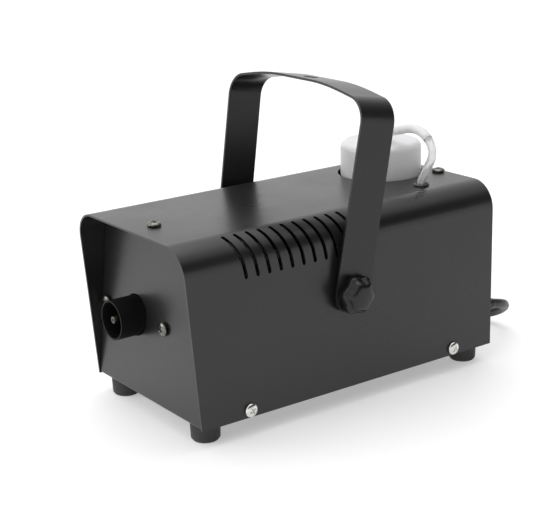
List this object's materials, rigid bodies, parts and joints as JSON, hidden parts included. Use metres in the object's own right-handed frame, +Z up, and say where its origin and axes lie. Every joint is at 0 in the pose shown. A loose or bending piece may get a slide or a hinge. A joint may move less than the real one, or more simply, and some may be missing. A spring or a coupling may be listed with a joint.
{
  "type": "fog machine",
  "caption": "Compact stage fog machine: black sheet-metal case with a nozzle, fluid bottle, feed tube, clamp handle on side knobs and a mains lead.",
  "frame": {"origin": "centre of the machine's box on the floor that the feet stand on, without the mains lead", "axes": "+Z up, -Y out of the nozzle, +X to the side of the pump and the tube's entry"},
  "size_m": [0.1997, 0.3894, 0.1984],
  "materials": {
    "black_paint": "satin black enamel on folded sheet steel",
    "screw_steel": "bright zinc plated",
    "black_screw": "blackened steel",
    "zinc_sheet": "zinc plated sheet",
    "rubber": "matt black rubber",
    "black_plastic": "moulded, lightly textured",
    "white_plastic": "translucent white polyethylene",
    "silicone": "clear silicone tube",
    "brass": "turned",
    "cast_aluminium": "as cast",
    "insulation": "woven glass fibre wrap",
    "copper_coil": "taped copper winding",
    "circuit_board": "green solder mask",
    "clear_glass": "clear",
    "lamp_red": "clear red lens",
    "cord_pvc": "black flexible PVC"
  },
  "bodies": {
    "case": {"chassis": "black_paint", "cover": "black_paint", "nozzle_shroud": "black_paint", "foot_1": "rubber", "foot_2": "rubber", "foot_3": "rubber", "foot_4": "rubber", "handle_spacer_left": "rubber", "handle_spacer_right": "rubber", "tube_grommet": "rubber", "pump_mount_front": "rubber", "pump_mount_rear": "rubber", "cover_side_screw_1": "screw_steel", "cover_side_screw_2": "screw_steel", "cover_side_screw_3": "screw_steel", "cover_side_screw_4": "screw_steel", "heating_element": "screw_steel", "thermostat": "screw_steel", "cover_top_screw_1": "black_screw", "cover_top_screw_2": "black_screw", "nozzle_bracket_screw_1": "black_screw", "nozzle_bracket_screw_2": "black_screw", "heater_bracket": "zinc_sheet", "heater_stand": "zinc_sheet", "pump_bracket": "zinc_sheet", "nozzle_tip": "brass", "heater_block": "cast_aluminium", "heater_wrap": "insulation", "pump_coil": "copper_coil", "pump_body": "black_plastic", "bottle_cup": "black_plastic", "transformer": "black_plastic", "relay": "black_plastic", "switch_housing": "black_plastic", "fuse_holder": "black_plastic", "remote_socket": "black_plastic", "cord_gland": "black_plastic", "strain_relief": "black_plastic", "mains_plug": "black_plastic", "terminal_block": "white_plastic", "pump_inlet_hose": "silicone", "pump_outlet_hose": "silicone", "control_board": "circuit_board", "ready_lamp": "lamp_red", "mains_lead": "cord_pvc", "mains_lead_coil": "cord_pvc", "mains_lead_tail": "cord_pvc"},
    "handle": {"handle": "black_paint"},
    "knob_right": {"knob_right": "black_plastic"},
    "knob_left": {"knob_left": "black_plastic"},
    "bottle": {"bottle": "white_plastic", "feed_tube": "silicone", "strainer": "brass"},
    "cap": {"bottle_cap": "white_plastic"},
    "rocker": {"switch_rocker": "black_plastic"},
    "fuse": {"glass_fuse": "clear_glass"},
    "fuse_cap": {"fuse_cap": "black_plastic"},
    "plunger": {"pump_plunger": "screw_steel"}
  },
  "joints": [
    {"name": "handle_swing", "type": "hinge", "parent": "case", "child": "handle", "pos_m": [0, -0.006, 0.0745], "axis": [1, 0, 0], "range_deg": [-24, 66]},
    {"name": "knob_right_turn", "type": "hinge", "parent": "case", "child": "knob_right", "pos_m": [0.073, -0.006, 0.0745], "axis": [1, 0, 0], "range_deg": [0, 360]},
    {"name": "knob_left_turn", "type": "hinge", "parent": "case", "child": "knob_left", "pos_m": [-0.073, -0.006, 0.0745], "axis": [-1, 0, 0], "range_deg": [0, 360]},
    {"name": "bottle_lift", "type": "slide", "parent": "case", "child": "bottle", "axis": [0, 0, 1], "range_m": [0, 0.06]},
    {"name": "cap_turn", "type": "hinge", "parent": "bottle", "child": "cap", "pos_m": [-0.0122, 0.0819, 0.13], "axis": [0, 0, 1], "range_deg": [0, 360]},
    {"name": "rocker_tip", "type": "hinge", "parent": "case", "child": "rocker", "pos_m": [0.038, 0.11475, 0.092], "axis": [1, 0, 0], "range_deg": [0, 20]},
    {"name": "fuse_pull", "type": "slide", "parent": "case", "child": "fuse", "axis": [0, 1, 0], "range_m": [0, 0.03]},
    {"name": "fuse_cap_turn", "type": "hinge", "parent": "fuse", "child": "fuse_cap", "pos_m": [0.038, 0.12, 0.06], "axis": [0, 1, 0], "range_deg": [-90, 0]},
    {"name": "plunger_stroke", "type": "slide", "parent": "case", "child": "plunger", "axis": [0, 1, 0], "range_m": [0, 0.003], "stiffness_N_per_m": 300}
  ]
}
